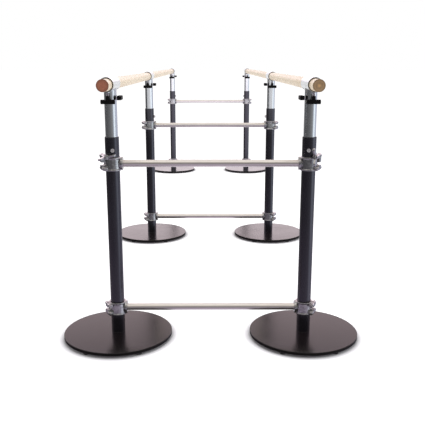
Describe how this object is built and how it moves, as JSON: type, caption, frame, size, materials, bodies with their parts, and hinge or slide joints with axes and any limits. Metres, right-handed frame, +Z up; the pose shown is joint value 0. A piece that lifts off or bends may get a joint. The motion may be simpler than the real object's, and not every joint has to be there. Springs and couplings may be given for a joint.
{
  "type": "portable double ballet barre",
  "caption": "Free-standing double barre: two round wooden rails side by side on height-adjustable round-base posts joined by clamped cross tubes.",
  "frame": {"origin": "on the floor, midway between the two rows of posts and midway between the front and rear posts", "axes": "+X across the rails to the right, +Y along the rails from front to rear, +Z up"},
  "size_m": [1.109, 4.286, 0.9653],
  "materials": {
    "base_paint": "satin dark grey-brown paint",
    "post_paint": "semi-gloss charcoal paint",
    "foot_rubber": "matt",
    "plated_steel": "zinc plated",
    "black_nylon": "satin",
    "cross_tube_metal": "satin anodised",
    "cast_metal": "tumbled and plated casting",
    "polished_tube": "bright drawn tube",
    "rail_wood": "clear satin varnish, darker end grain",
    "black_plastic": "moulded",
    "grey_screw": "plated"
  },
  "bodies": {
    "stands": {"base_plates": "base_paint", "rubber_feet": "foot_rubber", "foot_screws": "plated_steel", "base_bolts": "plated_steel", "post_plugs": "plated_steel", "outer_posts": "post_paint", "post_bushes": "black_nylon", "lower_cross_tubes": "cross_tube_metal", "lower_clamps": "cast_metal", "lower_clamp_bolts": "plated_steel", "lower_clamp_nuts": "plated_steel"},
    "left_rail": {"left_inner_tubes": "polished_tube", "left_tube_glides": "black_nylon", "left_rail_heads": "polished_tube", "left_head_liners": "black_nylon"},
    "left_rail_bar": {"left_bar": "rail_wood"},
    "right_rail": {"right_inner_tubes": "polished_tube", "right_tube_glides": "black_nylon", "right_rail_heads": "polished_tube", "right_head_liners": "black_nylon"},
    "right_rail_bar": {"right_bar": "rail_wood"},
    "front_crossbar": {"front_cross_tube": "cross_tube_metal", "front_clamps": "cast_metal", "front_clamp_bolts": "plated_steel", "front_clamp_nuts": "plated_steel"},
    "middle_crossbar": {"middle_cross_tube": "cross_tube_metal", "middle_clamps": "cast_metal", "middle_clamp_bolts": "plated_steel", "middle_clamp_nuts": "plated_steel"},
    "rear_crossbar": {"rear_cross_tube": "cross_tube_metal", "rear_clamps": "cast_metal", "rear_clamp_bolts": "plated_steel", "rear_clamp_nuts": "plated_steel"},
    "front_left_bar_screw_body": {"front_left_bar_screw": "black_plastic"},
    "front_left_head_screw_body": {"front_left_head_screw": "black_plastic"},
    "front_left_lock_screw_body": {"front_left_lock_screw": "grey_screw"},
    "front_left_wing_nut_body": {"front_left_wing_nut": "cast_metal"},
    "front_right_bar_screw_body": {"front_right_bar_screw": "black_plastic"},
    "front_right_head_screw_body": {"front_right_head_screw": "black_plastic"},
    "front_right_lock_screw_body": {"front_right_lock_screw": "grey_screw"},
    "front_right_wing_nut_body": {"front_right_wing_nut": "cast_metal"},
    "middle_left_bar_screw_body": {"middle_left_bar_screw": "black_plastic"},
    "middle_left_head_screw_body": {"middle_left_head_screw": "black_plastic"},
    "middle_left_lock_screw_body": {"middle_left_lock_screw": "grey_screw"},
    "middle_right_bar_screw_body": {"middle_right_bar_screw": "black_plastic"},
    "middle_right_head_screw_body": {"middle_right_head_screw": "black_plastic"},
    "middle_right_lock_screw_body": {"middle_right_lock_screw": "grey_screw"},
    "rear_left_bar_screw_body": {"rear_left_bar_screw": "black_plastic"},
    "rear_left_head_screw_body": {"rear_left_head_screw": "black_plastic"},
    "rear_left_lock_screw_body": {"rear_left_lock_screw": "grey_screw"},
    "rear_right_bar_screw_body": {"rear_right_bar_screw": "black_plastic"},
    "rear_right_head_screw_body": {"rear_right_head_screw": "black_plastic"},
    "rear_right_lock_screw_body": {"rear_right_lock_screw": "grey_screw"}
  },
  "joints": [
    {"name": "left_rail_height", "type": "slide", "parent": "stands", "child": "left_rail", "axis": [0, 0, 1], "range_m": [-0.1, 0.23]},
    {"name": "left_bar_slide", "type": "slide", "parent": "left_rail", "child": "left_rail_bar", "axis": [0, 1, 0], "range_m": [-0.06, 0.06]},
    {"name": "right_rail_height", "type": "slide", "parent": "stands", "child": "right_rail", "axis": [0, 0, 1], "range_m": [-0.1, 0.23]},
    {"name": "right_bar_slide", "type": "slide", "parent": "right_rail", "child": "right_rail_bar", "axis": [0, 1, 0], "range_m": [-0.06, 0.06]},
    {"name": "front_crossbar_height", "type": "slide", "parent": "stands", "child": "front_crossbar", "axis": [0, 0, 1], "range_m": [-0.44, 0.015]},
    {"name": "middle_crossbar_height", "type": "slide", "parent": "stands", "child": "middle_crossbar", "axis": [0, 0, 1], "range_m": [-0.44, 0.015]},
    {"name": "rear_crossbar_height", "type": "slide", "parent": "stands", "child": "rear_crossbar", "axis": [0, 0, 1], "range_m": [-0.44, 0.015]},
    {"name": "front_left_bar_screw_turn", "type": "hinge", "parent": "left_rail", "child": "front_left_bar_screw_body", "pos_m": [-0.3515, -2.002, 0.94], "axis": [0, 0, 1], "range_deg": [-720, 0]},
    {"name": "front_left_head_screw_turn", "type": "hinge", "parent": "left_rail", "child": "front_left_head_screw_body", "pos_m": [-0.3515, -1.94, 0.893], "axis": [-1, 0, 0], "range_deg": [-720, 0]},
    {"name": "front_left_lock_screw_turn", "type": "hinge", "parent": "stands", "child": "front_left_lock_screw_body", "pos_m": [-0.3515, -1.94, 0.711], "axis": [-0.1736, 0.9848, 0], "range_deg": [-720, 0]},
    {"name": "front_left_wing_nut_turn", "type": "hinge", "parent": "front_crossbar", "child": "front_left_wing_nut_body", "pos_m": [-0.38251, -1.95512, 0.69], "axis": [-0.4384, 0.8988, 0], "range_deg": [-720, 0]},
    {"name": "front_right_bar_screw_turn", "type": "hinge", "parent": "right_rail", "child": "front_right_bar_screw_body", "pos_m": [0.3515, -2.002, 0.94], "axis": [0, 0, 1], "range_deg": [-720, 0]},
    {"name": "front_right_head_screw_turn", "type": "hinge", "parent": "right_rail", "child": "front_right_head_screw_body", "pos_m": [0.3515, -1.94, 0.893], "axis": [1, 0, 0], "range_deg": [-720, 0]},
    {"name": "front_right_lock_screw_turn", "type": "hinge", "parent": "stands", "child": "front_right_lock_screw_body", "pos_m": [0.3515, -1.94, 0.711], "axis": [0.1736, 0.9848, 0], "range_deg": [-720, 0]},
    {"name": "front_right_wing_nut_turn", "type": "hinge", "parent": "front_crossbar", "child": "front_right_wing_nut_body", "pos_m": [0.38251, -1.95512, 0.69], "axis": [0.4384, 0.8988, 0], "range_deg": [-720, 0]},
    {"name": "middle_left_bar_screw_turn", "type": "hinge", "parent": "left_rail", "child": "middle_left_bar_screw_body", "pos_m": [-0.3515, -0.532, 0.94], "axis": [0, 0, 1], "range_deg": [-720, 0]},
    {"name": "middle_left_head_screw_turn", "type": "hinge", "parent": "left_rail", "child": "middle_left_head_screw_body", "pos_m": [-0.3515, -0.47, 0.893], "axis": [-1, 0, 0], "range_deg": [-720, 0]},
    {"name": "middle_left_lock_screw_turn", "type": "hinge", "parent": "stands", "child": "middle_left_lock_screw_body", "pos_m": [-0.3515, -0.47, 0.711], "axis": [-0.9659, 0.2588, 0], "range_deg": [-720, 0]},
    {"name": "middle_right_bar_screw_turn", "type": "hinge", "parent": "right_rail", "child": "middle_right_bar_screw_body", "pos_m": [0.3515, -0.532, 0.94], "axis": [0, 0, 1], "range_deg": [-720, 0]},
    {"name": "middle_right_head_screw_turn", "type": "hinge", "parent": "right_rail", "child": "middle_right_head_screw_body", "pos_m": [0.3515, -0.47, 0.893], "axis": [1, 0, 0], "range_deg": [-720, 0]},
    {"name": "middle_right_lock_screw_turn", "type": "hinge", "parent": "stands", "child": "middle_right_lock_screw_body", "pos_m": [0.3515, -0.47, 0.711], "axis": [0.9659, 0.2588, 0], "range_deg": [-720, 0]},
    {"name": "rear_left_bar_screw_turn", "type": "hinge", "parent": "left_rail", "child": "rear_left_bar_screw_body", "pos_m": [-0.3515, 1.878, 0.94], "axis": [0, 0, 1], "range_deg": [-720, 0]},
    {"name": "rear_left_head_screw_turn", "type": "hinge", "parent": "left_rail", "child": "rear_left_head_screw_body", "pos_m": [-0.3515, 1.94, 0.893], "axis": [-1, 0, 0], "range_deg": [-720, 0]},
    {"name": "rear_left_lock_screw_turn", "type": "hinge", "parent": "stands", "child": "rear_left_lock_screw_body", "pos_m": [-0.3515, 1.94, 0.711], "axis": [-0.9659, 0.2588, 0], "range_deg": [-720, 0]},
    {"name": "rear_right_bar_screw_turn", "type": "hinge", "parent": "right_rail", "child": "rear_right_bar_screw_body", "pos_m": [0.3515, 1.878, 0.94], "axis": [0, 0, 1], "range_deg": [-720, 0]},
    {"name": "rear_right_head_screw_turn", "type": "hinge", "parent": "right_rail", "child": "rear_right_head_screw_body", "pos_m": [0.3515, 1.94, 0.893], "axis": [1, 0, 0], "range_deg": [-720, 0]},
    {"name": "rear_right_lock_screw_turn", "type": "hinge", "parent": "stands", "child": "rear_right_lock_screw_body", "pos_m": [0.3515, 1.94, 0.711], "axis": [0.9659, 0.2588, 0], "range_deg": [-720, 0]}
  ]
}
